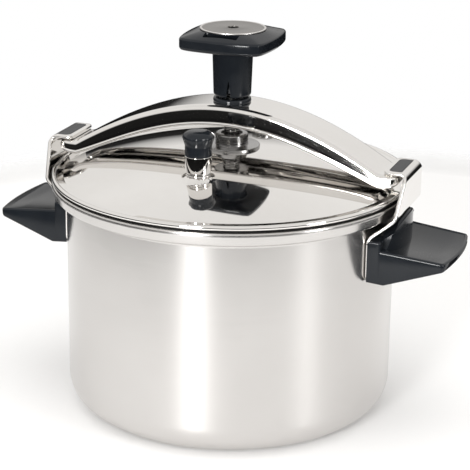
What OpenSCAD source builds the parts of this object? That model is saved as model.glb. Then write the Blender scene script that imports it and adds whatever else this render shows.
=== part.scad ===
// Stove-top pressure canner with a clamp bow.
// A round pot stands on its base cap. Two steel straps on its sides end in hooks, and an arched bow
// reaches from hook to hook over the lid. The knob and its screw spread the bow and the lid apart.
// Origin: centre of the base on the worktop, +Z up, +X towards the right handle, -Y to the front.

/* [Pot] */
// Outside diameter of the pot wall
pot_d = 222; // [190:1:270]
// Height of the pot rim above the worktop
pot_h = 157.4; // [120:0.1:240]
// Sheet thickness of the pot
wall_t = 1.0; // [0.8:0.1:1.6]
// Outside radius of the rounded edge at the base
corner_r = 21; // [15:1:26]
// How far the collar stands out from the wall
rim_out = 10; // [9:0.5:12]
// Height of the collar at the rim
collar_h = 9.4; // [8:0.2:11]

/* [Base] */
// Thickness of the steel cap under the pot
cap_t = 0.8; // [0.6:0.1:1.2]
// Thickness of the aluminium heat spreader
spreader_t = 4; // [3:0.5:6]

/* [Lid] */
// Sheet thickness of the lid
lid_t = 1.2; // [1:0.1:1.6]
// Rise of the dome above its edge
dome_rise = 18.7; // [14:0.1:24]
// Radius of the rolled bead at the edge
bead_r = 1.7; // [1.5:0.1:2]
// Width of the flat ring that holds the gasket
seat_w = 6.3; // [5.5:0.1:8]
// Thickness of the rubber gasket
gasket_t = 2.4; // [2:0.1:3]
// Gap between the gasket and the rim
gasket_gap = 0.3; // [0.2:0.1:0.5]

/* [Straps] */
// Thickness of the strap steel
strap_t = 2.4; // [2:0.1:3]
// Width of a strap where it lies on the pot
strap_w = 73; // [60:1:84]
// Width of a strap where it passes the lid
upright_w = 58; // [50:1:72]
// Width of a hook at the top
hook_w = 37; // [36:1:48]
// Height of a hook's top above the rim
hook_rise = 21.4; // [20:0.2:28]
// Length of strap on the pot wall, measured from the rim down to its foot
strap_drop = 48; // [40:1:60]
// Gap between the lid bead and the straps, so the lid slides out
side_gap = 0.8; // [0.5:0.1:2]
// How far the hook reaches in from the upright
hook_reach = 16; // [14:0.5:18]
// Thickness of the pad in the hook
pad_t = 1.2; // [0.8:0.1:1.4]

/* [Clamp bow] */
// Rise of the bow above its tongues
bow_rise = 35.1; // [28:0.1:50]
// Width of the bow at the middle
bow_w = 40.2; // [34:0.2:48]
// Width of the bow at the tongues
tongue_w = 35.6; // [30:0.2:42]
// Thickness of the bow steel
bow_t = 2.5; // [2:0.1:3.5]
// Depth of the flanges at the middle
flange_d = 13.4; // [10:0.2:16]
// Depth of the flanges at the tongues
flange_end_d = 9.2; // [6:0.2:10]
// Gap between a tongue and its hook
hook_gap = 0.4; // [0.3:0.1:1]

/* [Clamp screw and knob] */
// Diameter of the clamp screw
screw_d = 12; // [10:0.5:14]
// Radial play of the screw, the bush and the foot
fit_gap = 0.05; // [0.03:0.01:0.09]
// Side of the square knob top
knob_side = 62; // [54:1:68]
// Height of the knob above the bow
knob_h = 49.3; // [40:0.1:60]
// Diameter of the knob's column at the top
column_d = 27.2; // [24:0.2:30]
// Diameter of the steel disc
disc_d = 44; // [36:1:48]
// Diameter of the hole in the disc
disc_hole_d = 7.4; // [6:0.2:9]

/* [Valves] */
// Distance of the steam nozzle from the middle
nozzle_off = 62; // [50:1:80]
// Diameter of the pressure weight
weight_d = 17.2; // [15:0.2:20]
// Height of the steel part of the weight
weight_h = 12; // [10:0.5:18]
// Height of the black cap on the weight
weight_cap_h = 16.4; // [13:0.2:20]
// Distance of the safety valve from the middle
safety_off = 65; // [50:1:80]
// Diameter of the safety valve
safety_d = 15; // [13:0.5:18]

/* [Handles] */
// Distance from the middle to the tip of a handle
handle_reach = 161; // [150:1:200]
// Width of a handle where it meets the strap
handle_w = 73; // [60:1:84]
// Width of a handle at its tip
handle_tip_w = 68; // [54:1:80]
// Depth of the thumb scoop
scoop_d = 3; // [1:0.5:4]
// Wall thickness of a handle
handle_t = 3.6; // [3:0.2:5]
// Diameter of the handle screws
handle_screw_d = 5; // [4:0.5:6]
// Distance between the two screws of a handle
handle_screw_gap = 28; // [22:1:40]

/* [Hidden] */
$fn = 96;
// Segments in a rounded corner of a drawn outline
arc_n = 8;
// Segments of the strap's curve where small pieces are cut to fit on it
fit_n = 720;
// How far a cutting shape runs past what it cuts
over = 1;

// Pot
pot_r = pot_d / 2;
rim_r = pot_r + rim_out;
rim_z = pot_h;
floor_z = cap_t + spreader_t;
corner_x = pot_r - corner_r;
neck_r = 3.5;
// Lid
seat_z = rim_z + gasket_gap + gasket_t;
dome_z0 = seat_z + lid_t;
bead_stand = 0.9;
bead_z = dome_z0 + bead_stand - bead_r;
bead_x = rim_r - bead_r;
dome_edge = bead_x - seat_w;
dome_sphere = (dome_edge * dome_edge + dome_rise * dome_rise) / (2 * dome_rise);
dome_top = dome_z0 + dome_rise;
dome_c = dome_top - dome_sphere;
// Straps and hooks
hook_z = rim_z + hook_rise;
strap_z0 = rim_z - strap_drop;
strap_x = pot_r + strap_t;
edge_x = sqrt(strap_x * strap_x - strap_w * strap_w / 4);
upright_x = rim_r + side_gap + strap_t;
hook_lean = 3.4;
hook_x = upright_x + hook_lean;
hook_end = upright_x + 1.8 - hook_reach;
ramp_z0 = rim_z - 20.8;
ramp_z1 = rim_z - 7.8;
wrap_z = rim_z - collar_h - neck_r;
taper_z = hook_z - 16;
bend_r = 5;
pad_inset = 3;
// Bow
tongue_z = hook_z - strap_t - hook_gap;
crown_z = tongue_z + bow_rise;
bow_knee = rim_r - 14;
tongue_r = upright_x - strap_t - 0.5;
arch_k = 0.066;
// Clamp screw, from the cup on the lid up to the knob
cup_r = 11;
cup_h = 9;
cup_flange_r = 19;
cup_flange_z = dome_top + 1.2;
weld_gap = 0.05;
cup_z = dome_top + cup_h;
foot_r = 7.3;
foot_z = dome_top + 2.2;
foot_h = 3.3;
clip_z = foot_z + foot_h + 0.4;
clip_t = 1;
bush_r = 9;
bush_flange_r = 13;
knob_z = crown_z + 3.5;
knob_top = crown_z + knob_h;
disc_t = 1;
plate_h = 8;
crown_h = 3.6;
screw_top = knob_top - 12;
bolt_r = disc_hole_d / 2 - 1.2;
bolt_l = 11;
// Valves
boss_r = 10;
boss_h = 1.2;
nozzle_z = dome_at(nozzle_off) + boss_h;
safety_z = dome_at(safety_off) + boss_h;
stem_r = 4;
stem_l = 11;
stem_gap = 0.05;
seal_t = 1.6;
seal_z = -7.4;
nut_t = 3.2;
nozzle_flange_h = 1.4;
nozzle_bore_r = 1.3;
spout_r = 3.6;
weight_z = nozzle_z + nozzle_flange_h + 0.3;
spout_z = weight_z + 6;
needle_r = 2;
safety_h = 9.6;
safety_wall = 1.6;
safety_seat = 0.4;
plunger_r = 2;
plunger_z = safety_z + safety_seat + 0.1;
plunger_flange_h = 1;
spring_z0 = plunger_z + plunger_flange_h + 0.1;
spring_z1 = safety_z + safety_h - safety_wall;
// Handles
handle_z0 = rim_z - 50;
handle_top_in = rim_z - 26.6;
handle_top_out = rim_z - 31.2;
handle_tip_z0 = rim_z - 35.2;
shoulder_z = rim_z - 20.6;
guard_z = rim_z - 8;
knee_x = pot_r + 6.7;
shoulder_x = pot_r + 4.2;
root_x = strap_x + 7;
screw_z = rim_z - 39;
boss_x = strap_x + 3;

// Points of an arc from angle a0 to a1 about c.
function arc(c, r, a0, a1, n = arc_n) =
    [for (i = [0 : n]) c + r * [cos(a0 + (a1 - a0) * i / n), sin(a0 + (a1 - a0) * i / n)]];

// Unit vector along v.
function unit(v) = v / norm(v);

// Points that round the corner at b of the path a, b, c with radius r.
function round_corner(a, b, c, r) =
    let (u = unit(a - b), v = unit(c - b), half = acos(u * v) / 2, m = b + unit(u + v) * r / sin(half),
         p = b + u * r / tan(half), q = b + v * r / tan(half),
         a0 = atan2(p.y - m.y, p.x - m.x), a1 = atan2(q.y - m.y, q.x - m.x),
         turn = a1 - a0 > 180 ? a1 - a0 - 360 : (a1 - a0 < -180 ? a1 - a0 + 360 : a1 - a0))
    arc(m, r, a0, a0 + turn);

// A path with its inner corners rounded; radii has one value for each corner.
function rounded(path, radii) =
    [path[0],
     for (i = [1 : len(path) - 2]) each round_corner(path[i - 1], path[i], path[i + 1], radii[i - 1]),
     path[len(path) - 1]];

// A path moved sideways by d, to its left for a positive d.
function beside(path, d) =
    [for (i = [0 : len(path) - 1])
        let (a = path[max(i - 1, 0)], b = path[i], c = path[min(i + 1, len(path) - 1)],
             u = i == 0 ? unit(c - b) : unit(b - a), v = i == len(path) - 1 ? u : unit(c - b),
             m = unit(u + v), grow = 1 / (m * u))
        b + d * grow * [-m.y, m.x]];

// A strip of thickness t on the left of a path.
function strip(path, t) =
    let (other = beside(path, t))
    concat(path, [for (i = [len(other) - 1 : -1 : 0]) other[i]]);

function reversed(list) = [for (i = [len(list) - 1 : -1 : 0]) list[i]];

// Height of the lid's outer face at radius r.
function dome_at(r) = dome_c + sqrt(dome_sphere * dome_sphere - r * r);

// An XZ outline made a bar along Y of the given width.
module bar(points, width) {
    rotate([90, 0, 0]) linear_extrude(width, center = true) polygon(points);
}

// A YZ outline made a bar along X from x0 to x1.
module across(points, x0, x1) {
    translate([x0, 0, 0]) rotate([90, 0, 90]) linear_extrude(x1 - x0) polygon(points);
}

// An upright tube about the Z axis.
module ring(outer, inner, z0, z1) {
    translate([0, 0, z0]) difference() {
        cylinder(r = outer, h = z1 - z0);
        translate([0, 0, -over]) cylinder(r = inner, h = z1 - z0 + 2 * over);
    }
}

// Its children as they are on the right and mirrored on the left.
module on_side(side) {
    if (side > 0) children();
    else mirror([1, 0, 0]) children();
}

// ---- Pot ----

// The wall's outline from the base corner to the inner lip of the collar.
function collar_outline() =
    let (belly = 3, lip = 1.4, lean = 1.6, lip_w = 8)
    rounded([[pot_r, corner_r], [pot_r, rim_z - collar_h], [rim_r - lean, rim_z - collar_h],
             [rim_r, rim_z - lip - 1], [rim_r, rim_z], [rim_r - lip_w, rim_z]], [neck_r, belly, 1, lip]);

// The pot: a drawn steel shell with a rounded base edge and a turned-out collar.
module pot_shell() {
    outline = collar_outline();
    inside = beside(outline, wall_t);
    a0 = -asin((corner_r - floor_z) / corner_r);
    a1 = -asin((corner_r - floor_z - wall_t) / (corner_r - wall_t));
    color("silver")
    rotate_extrude() polygon(concat(
        [[0, floor_z]], arc([corner_x, corner_r], corner_r, a0, 0), outline,
        reversed(inside), arc([corner_x, corner_r], corner_r - wall_t, 0, a1), [[0, floor_z + wall_t]]));
}

// The aluminium disc that spreads the heat, closed in between the pot and the cap.
module heat_spreader() {
    inner = corner_r - cap_t;
    a0 = -asin((corner_r - floor_z) / inner);
    color("lightgray")
    rotate_extrude() polygon(concat([[0, cap_t]], arc([corner_x, corner_r], inner, -90, a0), [[0, floor_z]]));
}

// The steel cap that covers the spreader and forms the lower part of the rounded edge.
module base_cap() {
    inner = corner_r - cap_t;
    a0 = -asin((corner_r - floor_z) / corner_r);
    a1 = -asin((corner_r - floor_z) / inner);
    color("silver")
    rotate_extrude() polygon(concat(
        [[0, 0]], arc([corner_x, corner_r], corner_r, -90, a0),
        arc([corner_x, corner_r], inner, a1, -90), [[0, cap_t]]));
}

// ---- Straps, hooks and pads ----

// The strap's outer line in side view, from its foot to the hook's inner end.
function strap_line() =
    rounded([[edge_x, strap_z0], [edge_x, ramp_z0], [upright_x, ramp_z1],
             [hook_x, hook_z], [hook_end, hook_z]], [7, 6, bend_r]);

// The strap's outline seen from the side of the pot.
function strap_front() =
    let (low = strap_w / 2, middle = upright_w / 2, high = hook_w / 2, foot = 4)
    concat([[-high, hook_z + over], [-high, hook_z - 1], [-middle, taper_z], [-low, ramp_z0 - 2]],
           arc([-low + foot, strap_z0 + foot], foot, 180, 270),
           arc([low - foot, strap_z0 + foot], foot, 270, 360),
           [[low, ramp_z0 - 2], [middle, taper_z], [high, hook_z - 1], [high, hook_z + over]]);

// Everything behind the strap's outer face, which the handles are cut back from.
module behind_strap() {
    line = strap_line();
    cylinder(r = strap_x, h = hook_z);
    bar(concat([[0, strap_z0]], line, [[0, hook_z]]), strap_w + 30);
}

// A recess in the hook's top, with round corners at its inner end.
module pad_outline() {
    half = hook_w / 2 - pad_inset;
    x0 = hook_end + pad_inset;
    x1 = hook_x - bend_r - 0.6;
    r = 3;
    polygon(concat([[x1, -half], [x1, half]], arc([x0 + r, half - r], r, 90, 180),
                   arc([x0 + r, -half + r], r, 180, 270)));
}

// A strap: curved onto the pot wall, ramped out under the collar and bent over into a hook.
module hook_strap(side) {
    line = strap_line();
    r = 3.5;
    half = hook_w / 2;
    tip = half - 0.4;
    wide_x = edge_x - 8;
    color("gainsboro")
    on_side(side) difference() {
        intersection() {
            union() {
                difference() {
                    bar(strip(line, strap_t), strap_w);
                    cylinder(r = pot_r, h = ramp_z1);
                    translate([0, 0, -over]) cylinder(r = strap_x, h = ramp_z0 + over - 0.01);
                }
                intersection() {
                    ring(strap_x, pot_r, strap_z0, wrap_z);
                    bar(concat([[0, strap_z0]], line, [[0, hook_z]]), strap_w);
                }
            }
            across(strap_front(), 0, hook_x + over);
            linear_extrude(hook_z + over) polygon(concat(
                [[hook_x + over, -strap_w], [hook_x + over, strap_w], [wide_x, strap_w], [wide_x, half]],
                arc([hook_end + r, tip - r], r, 90, 180),
                arc([hook_end + r, r - tip], r, 180, 270),
                [[wide_x, -half], [wide_x, -strap_w]]));
        }
        translate([0, 0, hook_z - pad_t]) linear_extrude(pad_t + over) pad_outline();
        handle_screw_holes(handle_screw_d / 2);
    }
}

// The pad pressed into the top of a hook.
module hook_pad(side) {
    color("dimgray")
    on_side(side) translate([0, 0, hook_z - pad_t]) linear_extrude(pad_t) pad_outline();
}

// ---- Side handles ----

// The handle's outline in side view, without its guard.
function handle_side() =
    [[edge_x - over, handle_z0 + 1], [knee_x, handle_z0], [handle_reach + over, handle_tip_z0],
     [handle_reach + over, handle_top_out], [shoulder_x, handle_top_in], [shoulder_x, shoulder_z],
     [edge_x - over, shoulder_z]];

// The handle's outline from above; inset draws it in by that much.
module handle_plan(inset) {
    root = handle_w / 2 - inset;
    tip = handle_tip_w / 2 - inset;
    end_x = sqrt(handle_reach * handle_reach - tip * tip);
    r = 7;
    intersection() {
        polygon(concat([[0, -root], [edge_x, -root]],
                       round_corner([edge_x, -root], [end_x + 3, -tip], [end_x + 3, 0], r),
                       round_corner([end_x + 3, 0], [end_x + 3, tip], [edge_x, root], r),
                       [[edge_x, root], [0, root]]));
        circle(handle_reach - inset);
    }
}

// A moulded handle: a wedge with a thumb scoop, a hollow below and a heat guard against the strap.
module side_handle(side) {
    tilt = atan((handle_top_in - handle_top_out) / (handle_reach - shoulder_x));
    dish_r = 130;
    rim = 2.2;
    guard_r = 60;
    guard_x = pot_r + 14.2;
    guard_low = 31;
    guard_high = 24;
    color([0.12, 0.13, 0.14])
    on_side(side) difference() {
        union() {
            difference() {
                intersection() {
                    bar(handle_side(), handle_w + 2);
                    linear_extrude(hook_z) handle_plan(0);
                }
                intersection() {
                    translate([shoulder_x, 0, handle_top_in + dish_r - scoop_d])
                        rotate([0, 90 + tilt, 0]) cylinder(r = dish_r, h = handle_reach);
                    linear_extrude(hook_z) handle_plan(rim);
                    translate([shoulder_x + 2, -handle_w, 0]) cube([handle_reach, 2 * handle_w, hook_z]);
                }
            }
            intersection() {
                translate([guard_x - guard_r, 0, handle_top_out])
                    cylinder(r = guard_r, h = guard_z - handle_top_out);
                across([[-guard_low, handle_top_out], [guard_low, handle_top_out],
                        [guard_high, guard_z], [-guard_high, guard_z]], 0, handle_reach);
            }
        }
        behind_strap();
        handle_hollow();
        handle_screw_holes(handle_screw_d / 2 + 0.1);
        for (y = [-1, 1] * handle_screw_gap / 2)
            translate([0, y, screw_z]) rotate([0, 90, 0]) cylinder(r = handle_screw_d + 0.5, h = boss_x);
    }
}

// The hollow in a handle's underside.
module handle_hollow() {
    top_in = handle_top_in - scoop_d - handle_t;
    top_out = handle_tip_z0 - 1.6;
    intersection() {
        bar([[root_x, 0], [root_x, top_in], [handle_reach - 12, top_out], [handle_reach - 12, 0]], handle_w);
        linear_extrude(hook_z) handle_plan(handle_t + 1);
    }
}

// The two screw holes of a side, from the pot wall outwards.
module handle_screw_holes(r) {
    for (y = [-1, 1] * handle_screw_gap / 2)
        translate([pot_r - 6, y, screw_z]) rotate([0, 90, 0]) cylinder(r = r, h = root_x + 10 - pot_r);
}

// The threaded bosses that stand on the straps, two behind each handle.
module handle_bosses() {
    color("silver")
    for (side = [1, -1], y = [-1, 1] * handle_screw_gap / 2) on_side(side) difference() {
        translate([pot_r, y, screw_z]) rotate([0, 90, 0])
            cylinder(r = handle_screw_d + 0.4, h = boss_x - pot_r);
        cylinder(r = strap_x, h = hook_z, $fn = fit_n);
        handle_screw_holes(handle_screw_d / 2);
    }
}

// The handle screws, with their heads in the hollow under each handle.
module handle_screws() {
    color("silver")
    for (side = [1, -1], y = [-1, 1] * handle_screw_gap / 2) on_side(side) difference() {
        translate([0, y, screw_z]) rotate([0, 90, 0]) {
            cylinder(r = handle_screw_d / 2, h = root_x);
            translate([0, 0, root_x]) cylinder(r = handle_screw_d * 0.9, h = 2.6);
        }
        cylinder(r = strap_x, h = hook_z, $fn = fit_n);
        translate([root_x + 1.6, y - 0.6, screw_z - handle_screw_d]) cube([2, 1.2, 2 * handle_screw_d]);
    }
}

// ---- Lid ----

// The lid: a domed steel sheet with a flat ring for the gasket and a rolled bead.
module lid_dome() {
    edge = asin(dome_edge / dome_sphere);
    inner = dome_sphere - lid_t;
    inner_edge = acos((seat_z - dome_c) / inner);
    color("silver")
    difference() {
        union() {
            rotate_extrude() {
                polygon(concat(arc([0, dome_c], dome_sphere, 90, 90 - edge, 20),
                               [[bead_x, dome_z0], [bead_x, seat_z]],
                               arc([0, dome_c], inner, 90 - inner_edge, 90, 20)));
                translate([bead_x, bead_z]) circle(bead_r, $fn = 32);
            }
            valve_boss(-nozzle_off, nozzle_z);
            valve_boss(safety_off, safety_z);
        }
        for (y = [-nozzle_off, safety_off]) translate([0, y, 0]) cylinder(r = stem_r + stem_gap, h = crown_z);
    }
}

// A flat seat pressed up in the dome for a valve.
module valve_boss(y, z) {
    cut = 4;
    intersection() {
        translate([0, y, z - boss_h - cut]) cylinder(r = boss_r, h = boss_h + cut);
        translate([0, 0, dome_c - lid_t]) sphere(dome_sphere + 2 * boss_h + lid_t, $fn = 96);
        difference() {
            cylinder(r = dome_edge, h = z);
            translate([0, 0, dome_c]) sphere(dome_sphere - lid_t, $fn = 96);
        }
    }
}

// The rubber gasket in the flat ring of the lid.
module lid_gasket() {
    outer = bead_x - bead_r - 0.1;
    inner = rim_r - 9.5;
    color([0.1, 0.1, 0.1])
    rotate_extrude() polygon([[inner + 0.8, rim_z + gasket_gap], [outer - 0.6, rim_z + gasket_gap],
                              [outer, rim_z + gasket_gap + 0.6], [outer, seat_z], [inner, seat_z],
                              [inner, rim_z + gasket_gap + 0.8]]);
}

// The cup welded on the lid, which holds the foot of the clamp screw.
module thrust_cup() {
    bore_r = foot_r + fit_gap;
    groove_r = foot_r + 1.4;
    groove_z = clip_z + clip_t + 0.1;
    chamfer = 1.5;
    base_r = dome_sphere + weld_gap;
    color("silver")
    rotate_extrude() polygon(concat(arc([0, dome_c], base_r, 90, acos(cup_flange_r / base_r)),
        [[cup_flange_r, cup_flange_z - 0.4], [cup_flange_r - 0.4, cup_flange_z], [cup_r, cup_flange_z],
         [cup_r, cup_z - chamfer], [cup_r - chamfer, cup_z], [bore_r, cup_z], [bore_r, groove_z],
         [groove_r, groove_z], [groove_r, clip_z], [bore_r, clip_z],
         [bore_r, foot_z - 0.2], [0, foot_z - 0.2]]));
}

// The circlip that keeps the screw's foot in the cup.
module foot_circlip() {
    color("gray")
    difference() {
        ring(foot_r + 1.3, screw_d / 2 - 0.4, clip_z, clip_z + clip_t);
        translate([0, -1.5, clip_z - over]) cube([cup_r, 3, clip_t + 2 * over]);
    }
}

// ---- Steam nozzle and pressure weight ----

// The nozzle: a flange on the lid, a spout for the weight above and a threaded stem below.
module steam_nozzle() {
    flange = weight_d / 2 - 0.7;
    edge = 0.6;
    color("silver")
    translate([0, -nozzle_off, nozzle_z]) rotate_extrude()
        polygon([[nozzle_bore_r, -stem_l], [stem_r, -stem_l], [stem_r, 0], [flange - edge, 0], [flange, edge],
                 [flange, nozzle_flange_h - edge], [flange - edge, nozzle_flange_h],
                 [spout_r, nozzle_flange_h], [spout_r, spout_z - nozzle_z],
                 [nozzle_bore_r, spout_z - nozzle_z]]);
}

// A rubber washer under the lid. z is the seat above it.
module stem_seal(y, z) {
    color([0.15, 0.15, 0.15])
    translate([0, y, z + seal_z]) ring(stem_r + 3, stem_r, 0, seal_t);
}

// A hexagon nut on a stem, below its washer.
module stem_nut(y, z) {
    color("silver")
    translate([0, y, z + seal_z - nut_t]) difference() {
        cylinder(r = 2 * stem_r, h = nut_t, $fn = 6);
        translate([0, 0, -over]) cylinder(r = stem_r, h = nut_t + 2 * over, $fn = 48);
    }
}

// The needle inside the weight, whose cone closes the nozzle.
module weight_needle() {
    tip = 1.2;
    taper = 0.7;
    seat_r = nozzle_bore_r - fit_gap;
    head_z = weight_z + weight_h - spout_z - 0.5;
    color("goldenrod")
    translate([0, -nozzle_off, spout_z]) rotate_extrude()
        polygon([[0, -tip], [seat_r - taper * tip, -tip], [needle_r, (needle_r - seat_r) / taper],
                 [needle_r, head_z], [0, head_z]]);
}

// The steel weight, hollow below for the spout and bored for the needle.
module pressure_weight() {
    outer = weight_d / 2;
    cavity = spout_r + 0.6;
    cavity_h = spout_z - weight_z + 0.8;
    edge = 0.8;
    bore_r = needle_r + fit_gap;
    color("silver")
    translate([0, -nozzle_off, weight_z]) rotate_extrude()
        polygon([[cavity, 0], [outer - edge, 0], [outer, edge], [outer, weight_h], [bore_r, weight_h],
                 [bore_r, cavity_h], [cavity, cavity_h]]);
}

// The black cap pushed onto the weight, wider at its domed top.
module weight_cap() {
    low = weight_d / 2 + 0.1;
    wide = weight_d / 2 + 1.7;
    dome_h = 6.4;
    shoulder = weight_cap_h - dome_h;
    color([0.1, 0.1, 0.11])
    translate([0, -nozzle_off, weight_z + weight_h]) rotate_extrude()
        polygon(concat([[0, 0], [low, 0], [low, 1.5], [wide - 0.3, shoulder - 1]],
                       [for (i = [0 : arc_n]) let (a = 90 * i / arc_n)
                           [wide * cos(a), shoulder + dome_h * sin(a)]]));
}

// ---- Safety valve ----

// The valve body: a turned housing on the lid with a threaded stem below.
module safety_valve_body() {
    outer = safety_d / 2;
    edge = 2;
    bore_r = 1.6;
    cave_r = 4.2;
    guide_r = plunger_r + 0.1;
    color("silver")
    translate([0, safety_off, safety_z]) rotate_extrude()
        polygon([[bore_r, -stem_l], [stem_r, -stem_l], [stem_r, 0], [outer, 0], [outer, safety_h - edge],
                 [outer - edge, safety_h], [guide_r, safety_h], [guide_r, safety_h - safety_wall],
                 [cave_r, safety_h - safety_wall], [cave_r, safety_seat], [bore_r, safety_seat]]);
}

// The plunger: a flange on the seat and a pin that shows above the body.
module safety_valve_plunger() {
    flange = 3.6;
    color("goldenrod")
    translate([0, safety_off, plunger_z]) rotate_extrude()
        polygon([[0, 0], [flange, 0], [flange, plunger_flange_h], [plunger_r, plunger_flange_h],
                 [plunger_r, safety_h], [0, safety_h]]);
}

// One ring of points of the spring wire, at the share t of its length.
function coil_ring(t, turns, r, wire, z0, z1) =
    let (a = 360 * turns * t, z = z0 + (z1 - z0) * t)
    [for (k = [0 : 5]) let (q = r + wire * cos(60 * k)) [q * cos(a), q * sin(a), z + wire * sin(60 * k)]];

// The spring between the plunger's flange and the top of the body.
module safety_valve_spring() {
    turns = 4;
    steps = 48;
    wire = 0.4;
    coil_r = 3.1;
    points = [for (i = [0 : steps])
        each coil_ring(i / steps, turns, coil_r, wire, spring_z0 + wire, spring_z1 - wire)];
    sides = [for (i = [0 : steps - 1], k = [0 : 5])
        let (a = 6 * i + k, b = 6 * i + (k + 1) % 6) each [[a, a + 6, b], [b, a + 6, b + 6]]];
    last = 6 * steps;
    color("silver")
    translate([0, safety_off, 0])
        polyhedron(points, concat(sides, [[5, 4, 3, 2, 1, 0]], [[for (k = [0 : 5]) last + k]]));
}

// ---- Clamp bow ----

// Height of the bow's top face at x.
function bow_top(x) =
    let (s = min(abs(x) / bow_knee, 1))
    crown_z - bow_rise * ((1 + arch_k) * s * s - arch_k * s * s * s * s);

// Height of the flanges' lower edge at x, drawn up to the tongue near its end.
function bow_low(x) =
    let (s = min(abs(x) / bow_knee, 1), e = max(0, (abs(x) - bow_knee - 2) / (tongue_r - bow_knee - 2)),
         depth = flange_d + (flange_end_d - flange_d) * pow(s, 6))
    bow_top(x) - bow_t - (depth - bow_t) * sqrt(max(0, 1 - e * e));

// The bow's outline from above, drawn in by inset; its ends are arcs about the screw's axis.
module bow_plan(inset) {
    half = bow_w / 2 - inset;
    low = tongue_w / 2 - inset;
    intersection() {
        polygon([for (s = [-1, 1], i = [-12 : 12])
            let (u = i / 12) [s * u * (tongue_r + 4), -s * (half + (low - half) * u * u)]]);
        circle(tongue_r);
    }
}

// The bow: an arched channel with two flat tongues that go under the hooks.
module clamp_bow() {
    xs = [for (i = [-30 : 30]) tongue_r * i / 30];
    top = [for (x = xs) [x, bow_top(x)]];
    under = [for (x = xs) [x, bow_top(x) - bow_t]];
    low = [for (x = xs) [x, bow_low(x) - 0.01]];
    color("silver")
    difference() {
        union() {
            intersection() {
                linear_extrude(crown_z + over) bow_plan(0);
                bar(concat(top, reversed(under)), bow_w + 2);
            }
            intersection() {
                linear_extrude(crown_z + over) difference() {
                    bow_plan(0);
                    bow_plan(bow_t);
                }
                bar(concat(top, reversed(low)), bow_w + 2);
            }
        }
        cylinder(r = bush_r + fit_gap, h = crown_z + over);
    }
}

// The black ring on the bow, around the bush.
module bow_collar() {
    outer = column_d / 2 - 0.8;
    inner = bush_r + 0.4;
    edge = 1.4;
    middle_z = crown_z + 1.2;
    far = outer * 1.2;
    xs = [for (i = [-6 : 6]) far * i / 6];
    color([0.1, 0.1, 0.11])
    difference() {
        rotate_extrude() polygon(concat([[inner, crown_z - 2], [outer - 0.6, crown_z - 2]],
            arc([outer - edge, middle_z], edge, -60, 90), [[inner, middle_z + edge]]));
        bar(concat([for (x = xs) [x, bow_top(x)]], [[far, 0], [-far, 0]]), bow_w);
    }
}

// The threaded bush that turns the screw's pull into the bow's push.
module bow_bush() {
    flange_h = 5;
    flange_z = bow_top(bush_flange_r) - bow_t - 0.5 - flange_h;
    color("silver")
    difference() {
        union() {
            translate([0, 0, flange_z]) cylinder(r = bush_r, h = crown_z + 2 - flange_z);
            translate([0, 0, flange_z]) cylinder(r = bush_flange_r, h = flange_h);
        }
        cylinder(r = screw_d / 2 + fit_gap, h = knob_top);
    }
}

// ---- Knob and clamp screw ----

// The clamp screw, with its foot in the cup and its head in the knob.
module clamp_screw() {
    shank = screw_d / 2;
    neck = shank - 0.9;
    neck_z = clip_z + clip_t + 1;
    edge = 0.6;
    color("silver")
    difference() {
        rotate_extrude() polygon([[0, foot_z], [foot_r - edge, foot_z], [foot_r, foot_z + edge],
                                  [foot_r, foot_z + foot_h], [neck, foot_z + foot_h], [neck, neck_z],
                                  [shank, neck_z + 1], [shank, screw_top], [0, screw_top]]);
        translate([0, 0, screw_top - bolt_l - over]) cylinder(r = bolt_r, h = bolt_l + 2 * over);
    }
}

// A square with bowed sides and round corners, seen from above.
module knob_square(side) {
    half = side / 2;
    bulge = 3.4;
    sweep = (half * half + bulge * bulge) / (2 * bulge);
    intersection() {
        translate([half - sweep, 0]) circle(sweep, $fn = 180);
        translate([sweep - half, 0]) circle(sweep, $fn = 180);
        translate([0, half - sweep]) circle(sweep, $fn = 180);
        translate([0, sweep - half]) circle(sweep, $fn = 180);
        circle(half * 1.28);
    }
}

// The moulded knob: a square top on a column, with a slit at the foot of the column.
module knob_grip() {
    top = knob_top - disc_t;
    plate_top = top - crown_h;
    plate_z = plate_top - plate_h;
    low = column_d / 2 - 1.1;
    high = column_d / 2;
    foot = 2;
    edge = 1.5;
    recess = [24, (knob_side - disc_d) / 2, 3.2];
    slit = [1.8, column_d, 8];
    color([0.12, 0.13, 0.14])
    difference() {
        union() {
            rotate_extrude() polygon([[0, knob_z], [low - edge, knob_z], [low, knob_z + foot],
                                      [high, plate_z + 1], [high, plate_z + edge + 1],
                                      [0, plate_z + edge + 1]]);
            translate([0, 0, plate_z + edge]) linear_extrude(plate_h - 2 * edge) knob_square(knob_side);
            translate([0, 0, plate_z]) linear_extrude(plate_h) knob_square(knob_side - 2 * edge);
            translate([0, 0, plate_top - over])
                cylinder(r1 = knob_side / 2 - 3, r2 = disc_d / 2 + 0.6, h = crown_h + over);
        }
        translate([0, 0, knob_z - over]) cylinder(r = screw_d / 2, h = screw_top - knob_z + over);
        translate([0, 0, knob_z - over]) cylinder(r = bush_r + 0.6, h = over + 2.6);
        translate([0, 0, screw_top - over])
            cylinder(r = disc_hole_d / 2, h = knob_top - screw_top + 2 * over);
        translate([-recess.x / 2, 3 - knob_side / 2, top - recess.z])
            cube([recess.x, recess.y, recess.z + over]);
        translate([-slit.x / 2, -slit.y, knob_z - over]) cube([slit.x, slit.y, slit.z + over]);
    }
}

// The steel disc in the knob's top.
module knob_disc() {
    color("lightgray")
    ring(disc_d / 2, disc_hole_d / 2, knob_top - disc_t, knob_top);
}

// The bolt down the middle of the knob, which holds it on the screw.
module knob_bolt() {
    head_h = 4;
    socket_z = 1.6;
    color("dimgray")
    translate([0, 0, screw_top]) difference() {
        union() {
            translate([0, 0, -bolt_l]) cylinder(r = bolt_r, h = bolt_l);
            cylinder(r = disc_hole_d / 2, h = head_h);
        }
        translate([0, 0, socket_z]) cylinder(r = 2.3, h = head_h, $fn = 6);
    }
}

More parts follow.
